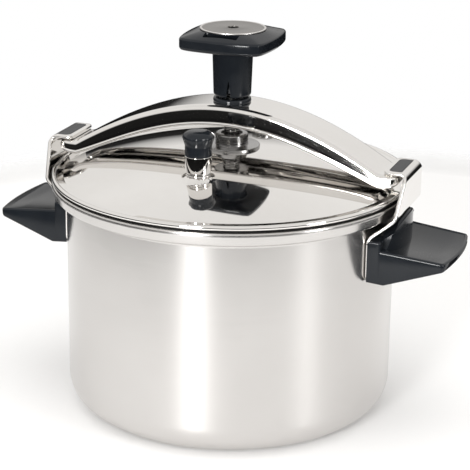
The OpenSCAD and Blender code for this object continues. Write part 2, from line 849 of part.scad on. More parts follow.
pot_shell();
heat_spreader();
base_cap();
hook_strap(1);  // right_hook_strap
hook_strap(-1);  // left_hook_strap
hook_pad(1);  // right_hook_pad
hook_pad(-1);  // left_hook_pad
side_handle(1);  // right_side_handle
side_handle(-1);  // left_side_handle
handle_bosses();
handle_screws();
lid_dome();
lid_gasket();
thrust_cup();
foot_circlip();
steam_nozzle();
stem_seal(-nozzle_off, nozzle_z);  // nozzle_seal
stem_nut(-nozzle_off, nozzle_z);  // nozzle_nut
safety_valve_body();
stem_seal(safety_off, safety_z);  // safety_valve_seal
stem_nut(safety_off, safety_z);  // safety_valve_nut
safety_valve_spring();
safety_valve_plunger();
weight_needle();
pressure_weight();
weight_cap();
bow_bush();
clamp_bow();
bow_collar();
clamp_screw();
knob_grip();
knob_disc();
knob_bolt();
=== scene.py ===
import math

import bmesh
import bpy
import numpy as np
from mathutils import Matrix, Vector


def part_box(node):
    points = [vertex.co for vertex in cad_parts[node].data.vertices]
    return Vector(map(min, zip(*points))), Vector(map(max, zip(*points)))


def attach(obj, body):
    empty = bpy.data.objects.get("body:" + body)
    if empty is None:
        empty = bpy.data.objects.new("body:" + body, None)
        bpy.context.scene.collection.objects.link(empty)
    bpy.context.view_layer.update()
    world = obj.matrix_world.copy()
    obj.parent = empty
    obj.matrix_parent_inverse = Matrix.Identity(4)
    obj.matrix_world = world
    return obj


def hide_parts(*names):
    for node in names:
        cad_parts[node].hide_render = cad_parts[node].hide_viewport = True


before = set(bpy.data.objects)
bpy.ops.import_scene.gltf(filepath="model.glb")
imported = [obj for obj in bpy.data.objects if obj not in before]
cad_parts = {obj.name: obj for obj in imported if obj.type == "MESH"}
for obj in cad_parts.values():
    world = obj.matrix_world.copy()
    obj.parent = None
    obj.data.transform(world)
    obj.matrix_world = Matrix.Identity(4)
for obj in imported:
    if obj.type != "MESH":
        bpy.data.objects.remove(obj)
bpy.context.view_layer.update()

# A stove-top pressure canner: a steel pot with two hooked straps, a domed lid, and a clamp bow that
# its knob and screw press up against the hooks. The sections follow it from the pot up to the knob.
# Sizes are in millimetres here, and every mesh is made in metres.


# ---- Camera ----
# It stands in front of the pot, 20 degrees round to the right, and looks down by 19 degrees.

camera_place = (0.3872, -1.0639, 0.4976)
camera_heading = math.radians(20)
camera_pan = math.radians(0.153)
camera_dip = math.radians(18.617)
camera_roll = math.radians(0.745)

forward = Vector((math.sin(camera_pan) * math.cos(camera_dip),
                  math.cos(camera_pan) * math.cos(camera_dip), -math.sin(camera_dip)))
level = Vector((math.cos(camera_pan), -math.sin(camera_pan), 0))
upright = level.cross(forward)
sideways = level * math.cos(camera_roll) + upright * math.sin(camera_roll)
upwards = upright * math.cos(camera_roll) - level * math.sin(camera_roll)
turn = Matrix.Rotation(camera_heading, 3, "Z") @ Matrix((sideways, upwards, -forward)).transposed()

camera_lens = bpy.data.cameras.new("camera")
camera_lens.lens = 133.95
camera = bpy.data.objects.new("camera", camera_lens)
camera.matrix_world = Matrix.Translation(camera_place) @ turn.to_4x4()
bpy.context.scene.collection.objects.link(camera)
bpy.context.scene.camera = camera


# ---- Pot ----
# One deep-drawn sheet of stainless steel, with a rounded edge at the base and a collar rolled out
# at the rim. The wall is satin polished, and its fine lines run around it.

MM = 0.001


def box_mm(node):
    """The lowest and highest corner of a CAD node, in millimetres."""
    low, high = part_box(node)
    return np.array(low) / MM, np.array(high) / MM


def unit(v):
    """v scaled to the length 1."""
    return v / np.linalg.norm(v)


def arc(centre, radius, first, last, steps=12):
    """Points centre + radius (cos a, sin a) while a goes from first to last, in degrees."""
    a = np.radians(np.linspace(first, last, steps + 1))
    return np.array(centre) + radius * np.stack([np.cos(a), np.sin(a)], axis=-1)


def rounded(corners, radii, steps=6, closed=False):
    """A path through the corners in which each corner is an arc. An arc of radius r touches both sides
    at r / tan(half) from the corner, where half is half the angle between the sides."""
    corners = np.array(corners, float)
    ends = () if closed else (0, len(corners) - 1)
    path = []
    for i, (corner, radius) in enumerate(zip(corners, radii)):
        if i in ends or radius == 0:
            path.append(corner[None])
            continue
        to_last = unit(corners[i - 1] - corner)
        to_next = unit(corners[(i + 1) % len(corners)] - corner)
        half = math.acos(np.clip(to_last @ to_next, -1, 1)) / 2
        centre = corner + unit(to_last + to_next) * radius / math.sin(half)
        start = corner + to_last * radius / math.tan(half) - centre
        stop = corner + to_next * radius / math.tan(half) - centre
        sweep = math.pi - 2 * half
        k = np.linspace(0, 1, steps + 1)[:, None]
        path.append(centre + (start * np.sin((1 - k) * sweep) + stop * np.sin(k * sweep)) / math.sin(sweep))
    return np.vstack(path)


def beside(path, distance):
    """The path moved to its left: each point goes along the bisector of its two sides, by
    distance / cos(half the turn)."""
    along = np.diff(path, axis=0)
    along /= np.linalg.norm(along, axis=1)[:, None]
    before = np.vstack([along[:1], along])
    after = np.vstack([along, along[-1:]])
    middle = before + after
    middle /= np.linalg.norm(middle, axis=1)[:, None]
    grow = distance / (middle * before).sum(axis=1)
    return path + grow[:, None] * np.stack([-middle[:, 1], middle[:, 0]], axis=-1)


def revolved(profile, centre=(0, 0), around=192):
    """A profile of (radius, height) turned about an upright axis through centre:
    x = cx + r cos a, y = cy + r sin a, z = h."""
    a = np.linspace(0, 2 * np.pi, around, endpoint=False)
    r, z = np.array(profile, float).T
    return np.stack([centre[0] + np.outer(r, np.cos(a)), centre[1] + np.outer(r, np.sin(a)),
                     np.outer(z, np.ones(around))], axis=-1)


def capped(points):
    """A grid whose first and last rows are closed by one more row each, at the row's middle."""
    ends = [np.repeat(points[i].mean(axis=0)[None, None], points.shape[1], axis=1) for i in (0, -1)]
    return np.concatenate([ends[0], points, ends[1]])


def piece(name, *grids, ring=False, crease=35):
    """A closed mesh from grids of points, rows by columns. Each cell of a grid is one face, and its
    last column meets its first. With ring, its last row meets its first row too."""
    verts, faces = [], []
    start = 0
    for grid in grids:
        rows, cols = grid.shape[:2]
        i = np.arange(rows if ring else rows - 1)[:, None]
        j = np.arange(cols)[None, :]
        here, there = i * cols, (i + 1) % rows * cols
        cells = np.stack([here + j, here + (j + 1) % cols, there + (j + 1) % cols, there + j], axis=-1)
        verts.append(grid.reshape(-1, 3) * MM)
        faces.append(cells.reshape(-1, 4) + start)
        start += rows * cols
    mesh = bpy.data.meshes.new(name)
    mesh.from_pydata(np.vstack(verts).tolist(), [], np.vstack(faces).tolist())
    shell = bmesh.new()
    shell.from_mesh(mesh)
    bmesh.ops.remove_doubles(shell, verts=shell.verts, dist=2e-7)
    bmesh.ops.recalc_face_normals(shell, faces=shell.faces)
    shell.to_mesh(mesh)
    shell.free()
    mesh.shade_smooth()
    mesh.set_sharp_from_angle(angle=math.radians(crease))
    made = bpy.data.objects.new(name, mesh)
    bpy.context.scene.collection.objects.link(made)
    return made


def settle(made, material, body, slot, *nodes):
    """Gives a piece its material and its body, and hides the CAD nodes that it stands for. The slot is not
    used.
    """
    made.data.materials.clear()
    made.data.materials.append(material)
    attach(made, body)
    if nodes:
        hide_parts(*nodes)


def turned(name, profile, material, body, slot, node, y=0, around=96, **options):
    """A lathe-made piece about the upright axis at (0, y), which stands for one CAD node."""
    settle(piece(name, revolved(profile, (0, y), around), **options), material, body, slot, node)


def effect(name, inputs, outputs):
    """An empty node group with number inputs and outputs. Gives the group, its input and its output."""
    group = bpy.data.node_groups.new(name, "ShaderNodeTree")
    for label, value in inputs.items():
        group.interface.new_socket(label, in_out="INPUT", socket_type="NodeSocketFloat").default_value = value
    for label in outputs:
        group.interface.new_socket(label, in_out="OUTPUT", socket_type="NodeSocketFloat")
    return group, group.nodes.new("NodeGroupInput"), group.nodes.new("NodeGroupOutput")


def noise(tree, place, scale, detail=2.0, rough=0.5):
    """A noise texture at the place given by a vector socket."""
    node = tree.nodes.new("ShaderNodeTexNoise")
    node.inputs["Detail"].default_value = detail
    node.inputs["Roughness"].default_value = rough
    tree.links.new(place, node.inputs["Vector"])
    if isinstance(scale, float):
        node.inputs["Scale"].default_value = scale
    else:
        tree.links.new(scale, node.inputs["Scale"])
    return node.outputs["Fac"]


def between(tree, value, low, high, to_low=0.0, to_high=1.0):
    """value carried from the span low..high to the span to_low..to_high, and kept inside it."""
    node = tree.nodes.new("ShaderNodeMapRange")
    tree.links.new(value, node.inputs["Value"])
    for label, number in (("From Min", low), ("From Max", high), ("To Min", to_low), ("To Max", to_high)):
        if isinstance(number, (int, float)):
            node.inputs[label].default_value = number
        else:
            tree.links.new(number, node.inputs[label])
    return node.outputs["Result"]


def maths(tree, operation, *values):
    """One Math node on sockets or numbers."""
    node = tree.nodes.new("ShaderNodeMath")
    node.operation = operation
    for socket, value in zip(node.inputs, values):
        if isinstance(value, (int, float)):
            socket.default_value = value
        else:
            tree.links.new(value, socket)
    return node.outputs[0]


def stretched(tree, x, y, z, turned=(0, 0, 0)):
    """Object coordinates in metres, turned and then scaled by x, y and z."""
    place = tree.nodes.new("ShaderNodeTexCoord")
    mapping = tree.nodes.new("ShaderNodeMapping")
    mapping.inputs["Rotation"].default_value = [math.radians(a) for a in turned]
    mapping.inputs["Scale"].default_value = (x, y, z)
    tree.links.new(place.outputs["Object"], mapping.inputs["Vector"])
    return mapping.outputs["Vector"]


# Fine lines that run level around an upright piece, as a belt or a lathe leaves them.
level_lines, given, result = effect("level_lines", {"Depth": 1.0}, ["Lines", "Height"])
fine = noise(level_lines, stretched(level_lines, 10, 10, 1500), 1.0, 2.0, 0.6)
broad = noise(level_lines, stretched(level_lines, 6, 6, 420), 1.0, 2.0)
lines = maths(level_lines, "MULTIPLY_ADD", fine, 0.65, maths(level_lines, "MULTIPLY", broad, 0.35))
level_lines.links.new(lines, result.inputs["Lines"])
level_lines.links.new(maths(level_lines, "MULTIPLY", lines, given.outputs["Depth"]), result.inputs["Height"])

# Soft patches where a polished face has been wiped and handled.
haze, given, result = effect("haze", {"Size": 22.0}, ["Mask"])
patches = noise(haze, stretched(haze, 1, 1, 1), given.outputs["Size"], 4.0, 0.55)
haze.links.new(between(haze, patches, 0.38, 0.68), result.inputs["Mask"])

# Short hairline scratches in two directions, sparse and thin.
hairlines, given, result = effect("hairlines", {"Cover": 0.3}, ["Mask"])
threshold = maths(hairlines, "SUBTRACT", 0.78, maths(hairlines, "MULTIPLY", given.outputs["Cover"], 0.2))
layers = [noise(hairlines, stretched(hairlines, 1800, 60, 1800, (20, 35, angle)), 1.0, 1.0)
          for angle in (25, 112)]
sum_of = maths(hairlines, "MAXIMUM", *layers)
hairlines.links.new(between(hairlines, sum_of, threshold, maths(hairlines, "ADD", threshold, 0.04)),
                    result.inputs["Mask"])


def placed(material, group, **values):
    """An effect in a material, with its own values."""
    node = material.node_tree.nodes.new("ShaderNodeGroup")
    node.node_tree = group
    for label, value in values.items():
        node.inputs[label].default_value = value
    return node


def new_material(name, colour, metallic, roughness, **sockets):
    """A material with one Principled shader. Gives the material, its tree and the shader."""
    material = bpy.data.materials.new(name)
    material.use_nodes = True
    shader = material.node_tree.nodes["Principled BSDF"]
    shader.inputs["Base Color"].default_value = (*colour, 1)
    shader.inputs["Metallic"].default_value = metallic
    shader.inputs["Roughness"].default_value = roughness
    for label, value in sockets.items():
        shader.inputs[label.replace("_", " ")].default_value = value
    return material, material.node_tree, shader


def tint(tree, shader, mask, low, high):
    """Base colour that goes from low to high with the mask."""
    mix = tree.nodes.new("ShaderNodeMix")
    mix.data_type = "RGBA"
    mix.inputs["A"].default_value = (*low, 1)
    mix.inputs["B"].default_value = (*high, 1)
    tree.links.new(mask, mix.inputs["Factor"])
    tree.links.new(mix.outputs["Result"], shader.inputs["Base Color"])


def bump(tree, shader, height, depth_mm, strength=1.0):
    """A bump of the given depth on the shader's normal."""
    node = tree.nodes.new("ShaderNodeBump")
    node.inputs["Strength"].default_value = strength
    node.inputs["Distance"].default_value = depth_mm * MM
    tree.links.new(height, node.inputs["Height"])
    tree.links.new(node.outputs["Normal"], shader.inputs["Normal"])


satin_steel, tree, shader = new_material("satin_steel", (0.74, 0.72, 0.70), 1.0, 0.24,
                                         Anisotropic=0.75, Anisotropic_Rotation=0.25)
lines = placed(satin_steel, level_lines)
wiped = placed(satin_steel, haze, Size=9.0)
tint(tree, shader, wiped.outputs["Mask"], (0.65, 0.634, 0.618), (0.62, 0.603, 0.587))
rough = maths(tree, "MULTIPLY_ADD", lines.outputs["Lines"], 0.06,
              between(tree, wiped.outputs["Mask"], 0, 1, 0.20, 0.23))
tree.links.new(rough, shader.inputs["Roughness"])
bump(tree, shader, lines.outputs["Height"], 0.003, 0.15)
tangent = tree.nodes.new("ShaderNodeTangent")
tangent.direction_type = "RADIAL"
tangent.axis = "Z"
tree.links.new(tangent.outputs["Tangent"], shader.inputs["Tangent"])

pot_low, pot_high = box_mm("pot_shell")
rim_r = pot_high[0]
rim_z = pot_high[2]
floor_z = pot_low[2]
sheet_t = 1.0
collar_out = 10
collar_h = 9.4
collar_lean = 1.6
rim_band = 2.4
rim_in = 8
wall_r = rim_r - collar_out
corner_r = 21
corner_x = wall_r - corner_r

collar = rounded([(wall_r, corner_r), (wall_r, rim_z - collar_h), (rim_r - collar_lean, rim_z - collar_h),
                  (rim_r, rim_z - rim_band), (rim_r, rim_z), (rim_r - rim_in, rim_z)],
                 (0, 3.5, 3, 1, 1.4, 0), 8)
first = -math.degrees(math.asin((corner_r - floor_z) / corner_r))
outside = np.vstack([arc((corner_x, corner_r), corner_r, first, 0, 24)[:-1], collar])
inside = beside(outside, sheet_t)[::-1]
inside = inside[inside[:, 1] > floor_z + sheet_t]
outline = np.vstack([[(0, floor_z)], outside, inside, [(0, floor_z + sheet_t)]])
turned("pot_wall", outline, satin_steel, "pot", "satin_steel", "pot_shell", around=256)


# ---- Base ----
# An aluminium disc spreads the heat. A thin steel cap closes it in and is brazed to the pot's corner.

aluminium, tree, shader = new_material("aluminium", (0.80, 0.80, 0.81), 1.0, 0.4)
spread = placed(aluminium, haze, Size=60.0)
tree.links.new(between(tree, spread.outputs["Mask"], 0, 1, 0.35, 0.5), shader.inputs["Roughness"])

cap_t = 0.8
seam = 0.12
last = -math.degrees(math.asin((corner_r - floor_z + seam) / corner_r))
under = arc((corner_x, corner_r), corner_r, -90, last, 16)
above = arc((corner_x, corner_r), corner_r - cap_t, last, -90, 16)
base_cap = piece("base_shell", revolved(np.vstack([[(0, 0)], under, above, [(0, cap_t)]]), around=256))
settle(base_cap, satin_steel, "pot", "satin_steel", "base_cap")


def dress(node, material):
    """Gives a CAD node that stays in view a material."""
    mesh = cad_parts[node].data
    mesh.materials.clear()
    mesh.materials.append(material)


dress("heat_spreader", aluminium)


# ---- Straps and hooks ----
# Each side has one strap of thick steel. It lies curved on the pot wall, runs out under the collar
# and bends in over the tongue of the bow. It is polished to a mirror, with a few hairline scratches.

polished_steel, tree, shader = new_material("polished_steel", (0.80, 0.785, 0.765), 1.0, 0.05)
wiped = placed(polished_steel, haze, Size=16.0)
worn = placed(polished_steel, hairlines, Cover=0.3)
tint(tree, shader, wiped.outputs["Mask"], (0.82, 0.805, 0.785), (0.78, 0.76, 0.735))
rough = maths(tree, "MULTIPLY_ADD", worn.outputs["Mask"], 0.10,
              between(tree, wiped.outputs["Mask"], 0, 1, 0.035, 0.065))
tree.links.new(rough, shader.inputs["Roughness"])
bump(tree, shader, wiped.outputs["Mask"], 0.02, 0.12)

strap_low, strap_high = box_mm("right_hook_strap")
pad_low, pad_high = box_mm("right_hook_pad")
strap_t = 2.4
strap_r = wall_r + strap_t
strap_half = strap_high[1]
upright_half = 29
hook_border = 3
hook_half = pad_high[1] + hook_border
hook_z = strap_high[2]
hook_x = strap_high[0]
strap_foot = strap_low[2]
hook_end = pad_low[0] - hook_border
hook_lean = 3.4
edge_x = math.sqrt(strap_r ** 2 - strap_half ** 2)
upright_x = hook_x - hook_lean
ramp = ((edge_x, rim_z - 20.8), (upright_x, rim_z - 7.8))


def resampled(path, count):
    """The path with count points, evenly spaced along its length."""
    run = np.concatenate([[0], np.cumsum(np.linalg.norm(np.diff(path, axis=0), axis=1))])
    at = np.linspace(0, run[-1], count)
    return np.stack([np.interp(at, run, path[:, k]) for k in range(path.shape[1])], axis=-1)


def carve(made, cutter, operation="DIFFERENCE", crease=35):
    """Cuts or joins a closed mesh with another, and removes the other."""
    modifier = made.modifiers.new("carve", "BOOLEAN")
    modifier.operation = operation
    modifier.solver = "EXACT"
    modifier.object = cutter
    solid = bpy.data.meshes.new_from_object(made.evaluated_get(bpy.context.evaluated_depsgraph_get()))
    made.modifiers.remove(modifier)
    old = made.data
    made.data = solid
    solid.name = made.name
    bpy.data.meshes.remove(old)
    bpy.data.objects.remove(cutter)
    solid.shade_smooth()
    solid.set_sharp_from_angle(angle=math.radians(crease))


def stacked(outline, levels):
    """An outline drawn in by an inset and set at a height, for each (inset, height) of levels. It is
    closed at both ends in steps towards its middle."""
    ahead = np.roll(outline, -1, axis=0) - outline
    behind = outline - np.roll(outline, 1, axis=0)
    along = ahead / np.linalg.norm(ahead, axis=1)[:, None] + behind / np.linalg.norm(behind, axis=1)[:, None]
    inward = np.stack([-along[:, 1], along[:, 0]], axis=-1)
    inward /= np.linalg.norm(inward, axis=1)[:, None]
    rows = [np.column_stack([outline + inward * inset, np.full(len(outline), z)]) for inset, z in levels]
    middle = np.array([*outline.mean(axis=0), 0])
    shares = (0.02, 0.35, 0.7, 0.9)
    first = [rows[0] + (middle + (0, 0, levels[0][1]) - rows[0]) * k for k in reversed(shares)]
    last = [rows[-1] + (middle + (0, 0, levels[-1][1]) - rows[-1]) * k for k in shares]
    return capped(np.array(first + rows + last))


def strap_points():
    """The strap's outer face is x = the larger of the pot's curve sqrt(R2 - y2) and the side line's x,
    softened where they meet. The inner face is the same for the line and the radius drawn in by the
    sheet. Across the sheet, a section is two faces joined by half rounds."""
    line = rounded([(edge_x, strap_foot), ramp[0], ramp[1], (hook_x, hook_z), (hook_end, hook_z)],
                   (0, 7, 6, 5, 0), 16)
    line = np.vstack([resampled(line[:2], 20)[:-1], line[1:-2], resampled(line[-2:], 8)])
    inner = beside(line, strap_t)
    run = np.cumsum(np.linalg.norm(np.diff(line, axis=0, prepend=line[:1]), axis=1))
    height = line[:, 1]
    taper, foot_round, tip_round, soft = 16, 4, 3.5, 0.8
    half = np.interp(height, [ramp[0][1] - 2, hook_z - taper, hook_z - 1],
                     [strap_half, upright_half, hook_half])
    foot = np.clip((strap_foot + foot_round - height) / foot_round, 0, 1)
    half = half - foot_round * (1 - np.sqrt(1 - foot ** 2))
    tip = np.clip((hook_end + tip_round - line[:, 0]) / tip_round, 0, 1) * (run > run[-1] - taper)
    half = half - tip_round * (1 - np.sqrt(1 - np.minimum(tip, 0.999) ** 2))
    edge = strap_t / 2
    turn = np.radians(np.linspace(-90, 90, 9))
    across = np.linspace(-1, 1, 33)
    none = 0 * across
    depth = np.concatenate([none, 0.5 + 0.5 * np.sin(turn), none + 1, 0.5 - 0.5 * np.sin(turn)])
    bulge = np.concatenate([none, edge * np.cos(turn), none, -edge * np.cos(turn)])
    y = np.concatenate([across, np.ones(9), across[::-1], -np.ones(9)])[None, :]
    y = y * (half - edge)[:, None] + bulge
    on_wall = (run < run[-1] * 0.6)[:, None]

    def face(side, radius):
        wall = np.sqrt(np.maximum(radius ** 2 - y ** 2, 1))
        x = side[:, :1] + 0 * y
        gap = x - wall
        meet = (x + wall + np.sqrt(gap ** 2 + soft ** 2)) / 2
        return np.where(on_wall, meet, x), side[:, 1:] + 0 * y

    out_x, out_z = face(line, strap_r)
    in_x, in_z = face(inner, wall_r + 0.05)
    return np.stack([out_x + (in_x - out_x) * depth, y, out_z + (in_z - out_z) * depth], axis=-1)


def pad_outline():
    """The pad's outline, seen from above, with rounded corners at its inner end."""
    corners = [(pad_high[0], pad_low[1]), (pad_high[0], pad_high[1]), (pad_low[0], pad_high[1]),
               (pad_low[0], pad_low[1])]
    path = rounded(corners, (1.2, 1.2, 3.5, 3.5), 8, closed=True)
    return resampled(np.vstack([path, path[:1]]), 161)[:-1]


recess_d = 1.1
for side, flip in (("right", 1), ("left", -1)):
    strap = piece(f"{side}_strap", capped(strap_points()) * (flip, 1, 1))
    pocket = stacked(pad_outline(), [(0, hook_z - recess_d), (0, hook_z + 2)])
    carve(strap, piece("pocket", pocket * (flip, 1, 1)))
    settle(strap, polished_steel, "pot", "polished_steel", f"{side}_hook_strap")


# ---- Hook pads ----
# A charcoal moulded pad is pressed into the top of each hook, so that hot steel isn't touched there.

pad_plastic, tree, shader = new_material("pad_plastic", (0.045, 0.046, 0.05), 0.0, 0.5)
pores = noise(tree, stretched(tree, 1, 1, 1), 1600.0, 3.0, 0.6)
tint(tree, shader, pores, (0.022, 0.023, 0.025), (0.046, 0.047, 0.05))
tree.links.new(between(tree, pores, 0.3, 0.7, 0.42, 0.62), shader.inputs["Roughness"])
bump(tree, shader, pores, 0.06, 0.5)

for side, flip in (("right", 1), ("left", -1)):
    shape = [(0.2, hook_z - recess_d + 0.02), (0.2, hook_z - 0.45), (0.3, hook_z - 0.15),
             (0.6, hook_z + 0.05), (1.1, hook_z + 0.12)]
    pad = piece(f"{side}_pad", stacked(pad_outline(), shape) * (flip, 1, 1))
    settle(pad, pad_plastic, "pot", "pad_plastic", f"{side}_hook_pad")


# ---- Side handles ----
# Moulded black plastic: a wedge with a thumb scoop, a shoulder behind it, and a curved guard that
# keeps the hand off the strap. Two screws from the hollow below hold it.

black_plastic, tree, shader = new_material("black_plastic", (0.010, 0.012, 0.016), 0.0, 0.15,
                                            Specular_IOR_Level=0.26)
grain = noise(tree, stretched(tree, 1, 1, 1), 900.0, 3.0, 0.6)
wiped = placed(black_plastic, haze, Size=38.0)
worn = placed(black_plastic, hairlines, Cover=0.45)
tint(tree, shader, wiped.outputs["Mask"], (0.009, 0.011, 0.014), (0.013, 0.015, 0.018))
rough = maths(tree, "MULTIPLY_ADD", worn.outputs["Mask"], 0.12,
              between(tree, wiped.outputs["Mask"], 0, 1, 0.11, 0.18))
tree.links.new(rough, shader.inputs["Roughness"])
bump(tree, shader, grain, 0.012, 0.25)

handle_low, handle_high = box_mm("right_side_handle")
tip_x = handle_high[0]
bottom_z = handle_low[2]
guard_z = handle_high[2]
root_half = handle_high[1]
tip_half = root_half - 2.5
shoulder_x = wall_r + 4.2
shoulder_z = rim_z - 20.6
top_in, top_out = rim_z - 26.6, rim_z - 31.2
tip_z = rim_z - 35.2
knee_x = wall_r + 6.7
sunk = 0.8


def smooth(k):
    """The soft step 3k2 - 2k3, for k kept between 0 and 1."""
    k = np.clip(k, 0, 1)
    return k * k * (3 - 2 * k)


def wedge_points():
    """Sections across the handle from the strap to the tip. x goes from the strap's curve to the tip's
    arc, y across, and z between a bottom that rises to the tip and a top with a scoop in it:
    top = line - depth (1 - (y / half)2) inside a narrow rim."""
    stations = np.concatenate([np.linspace(0, 0.93, 40),
                               1 - 0.07 * np.cos(np.linspace(0, np.pi / 2, 10))[1:]])
    t = stations[:, None]
    nose_start, nose_run, nose_in, nose_down = 0.955, 0.045, 2.0, 0.8
    nose = np.clip((t - nose_start) / nose_run, 0, 0.995)
    ends = 1 - np.sqrt(1 - nose ** 2)
    half = root_half + (tip_half - root_half) * t - nose_in * ends
    corner = 1.6
    turn = np.radians(np.linspace(0, 90, 7))
    flat = np.sin(np.linspace(-1, 1, 61) * np.pi / 2)

    def top_line(x):
        return top_in + (top_out - top_in) * (x - shoulder_x) / (tip_x - shoulder_x)

    def bottom_line(x):
        rise = (tip_z - bottom_z) * np.clip((x - knee_x) / (tip_x - knee_x), 0, 1)
        return bottom_z + rise + np.clip((knee_x - x) / 10, 0, 1)

    def x_at(y):
        start = np.sqrt(strap_r ** 2 - y ** 2) - sunk
        stop = np.sqrt(tip_x ** 2 - y ** 2)
        return start + (stop - start) * t

    y_top = flat * (half - corner)
    x_top = x_at(y_top)
    rim, rim_soft, back_soft = 1.5, 0.9, 3.0
    to_tip = tip_x - np.hypot(x_top, y_top)
    inside = (smooth((half - np.abs(y_top) - rim) / rim_soft) * smooth((to_tip - rim) / rim_soft)
              * smooth((x_top - shoulder_x - 1.0) / back_soft))
    edge_d, scoop_d = 0.5, 2.6
    dish = edge_d + scoop_d * (1 - (y_top / half) ** 2) * (0.45 + 0.55 * smooth(to_tip / 14))
    z_top = top_line(x_top) - dish * inside - nose_down * ends
    y_right = (half - corner) + corner * np.sin(turn)
    x_right = x_at(y_right)
    z_right = top_line(x_right) - corner * (1 - np.cos(turn)) - nose_down * ends
    y_low = (half - corner) + corner * np.cos(turn)
    x_low = x_at(y_low)
    z_low = bottom_line(x_low) + corner * (1 - np.sin(turn)) + nose_down * ends
    y_bottom = flat[::-1] * (half - corner)
    x_bottom = x_at(y_bottom)
    z_bottom = bottom_line(x_bottom) + nose_down * ends
    rows = [(x_top, y_top, z_top), (x_right, y_right, z_right), (x_low, y_low, z_low),
            (x_bottom, y_bottom, z_bottom), (x_low[:, ::-1], -y_low[:, ::-1], z_low[:, ::-1]),
            (x_right[:, ::-1], -y_right[:, ::-1], z_right[:, ::-1])]
    return np.concatenate([np.stack(r, axis=-1) for r in rows], axis=1)


def shoulder_points():
    """Sections along y: a rounded block from the strap's curve out to the shoulder's face."""
    y = root_half * np.sin(np.linspace(-1, 1, 41) * np.pi / 2)
    back = np.sqrt(strap_r ** 2 - y ** 2) - sunk
    block = 14
    edge = 1.3
    turn = np.radians(np.linspace(0, 90, 6))
    inset = edge * (1 - np.sqrt(1 - np.clip((np.abs(y) - root_half + edge) / edge, 0, 0.999) ** 2))
    front = shoulder_x - inset
    top = shoulder_z - inset
    x = np.column_stack([back, front, front[:, None] - edge * (1 - np.cos(turn)), back])
    under = np.full(len(y), shoulder_z - block)
    z = np.column_stack([under, under, top[:, None] - edge * (1 - np.sin(turn)), top])
    return np.stack([x, np.repeat(y[:, None], x.shape[1], axis=1), z], axis=-1)


def guard_points():
    """Level sections of the guard: its face is an arc of radius 60 about an upright axis, it narrows
    upwards, its top is arched, and its back lies in the sheet of the strap."""
    radius, guard_out = 60, 14.2
    low_half, high_half = 31, 24.5
    edge, arch = 1.5, 8
    centre = wall_r + guard_out - radius
    turn = np.radians(np.linspace(12, 90, 7))
    z = np.concatenate([np.linspace(top_out - 3, guard_z - edge, 24), guard_z - edge + edge * np.sin(turn)])
    inset = np.concatenate([np.zeros(24), edge * (1 - np.cos(turn))])
    share = np.clip((z - top_out) / (guard_z - top_out), 0, 1)
    half = low_half + (high_half - low_half) * share - inset
    y = np.linspace(-1, 1, 41)[None, :] * half[:, None]
    side = rounded([(edge_x, 0), ramp[0], ramp[1], (hook_x, hook_z)], (0, 7, 6, 0), 16)
    line_x = np.interp(z, side[:, 1], side[:, 0])[:, None]
    wall = np.sqrt(strap_r ** 2 - y ** 2)
    back = np.maximum(wall, line_x) - strap_t / 2
    face = np.maximum(centre + np.sqrt((radius - inset[:, None]) ** 2 - y ** 2), back + 0.05)
    drop = arch * (y / high_half) ** 2 * smooth(share)[:, None]
    return np.stack([np.concatenate([face, back[:, ::-1]], axis=1),
                     np.concatenate([y, y[:, ::-1]], axis=1),
                     z[:, None] - np.concatenate([drop, drop[:, ::-1]], axis=1)], axis=-1)


def hollow_points():
    """Sections of the hollow below the handle, from its root to its tip: rectangles with two rounded
    upper corners, whose sides and top follow the handle's at the wall's thickness."""
    wall, roof = 4.6, 6.2
    root_x, end_x = strap_r + 7, tip_x - 12
    sections = []
    for x in np.linspace(root_x, end_x, 8):
        share = (x - root_x) / (end_x - root_x)
        half = root_half + (tip_half - root_half) * share - wall
        top = top_in - roof + (tip_z - 1.6 - top_in + roof) * share
        loop = rounded([(-half, bottom_z - 3), (half, bottom_z - 3), (half, top), (-half, top)],
                       (0, 0, 1.5, 1.5), 6, closed=True)
        sections.append(np.column_stack([np.full(len(loop), x), loop]))
    return np.array(sections)


for side, flip in (("right", 1), ("left", -1)):
    handle = piece(f"{side}_handle", capped(wedge_points()) * (flip, 1, 1))
    carve(handle, piece("shoulder", capped(shoulder_points()) * (flip, 1, 1)), "UNION")
    carve(handle, piece("guard", capped(guard_points()) * (flip, 1, 1)), "UNION")
    carve(handle, piece("hollow", capped(hollow_points()) * (flip, 1, 1)))
    settle(handle, black_plastic, "pot", "black_plastic", f"{side}_side_handle")


# ---- Lid ----
# A domed steel sheet polished to a mirror. Its edge is a flat ring that holds the gasket, rolled
# into a bead, and two small seats are pressed up flat for the valves.

lid_high = box_mm("lid_dome")[1]
nozzle_low, nozzle_high = box_mm("steam_nozzle")
safety_low, safety_high = box_mm("safety_valve_body")
nozzle_y = (nozzle_low[1] + nozzle_high[1]) / 2
safety_y = (safety_low[1] + safety_high[1]) / 2
stem_l = 11
nozzle_seat = nozzle_low[2] + stem_l
safety_seat = safety_low[2] + stem_l
lid_t = 1.2
bead_r = 1.7
bead_x = lid_high[0] - bead_r
seat_z = box_mm("lid_gasket")[1][2]
ring_z = seat_z + lid_t
bead_z = ring_z + 0.9 - bead_r
dome_top = lid_high[2]
dome_edge = bead_x - 6.3
dome_rise = dome_top - ring_z
dome_sphere = (dome_edge ** 2 + dome_rise ** 2) / (2 * dome_rise)
dome_c = dome_top - dome_sphere


def dome_at(r):
    """Height of the dome's outer face at radius r."""
    return dome_c + np.sqrt(dome_sphere ** 2 - r ** 2)


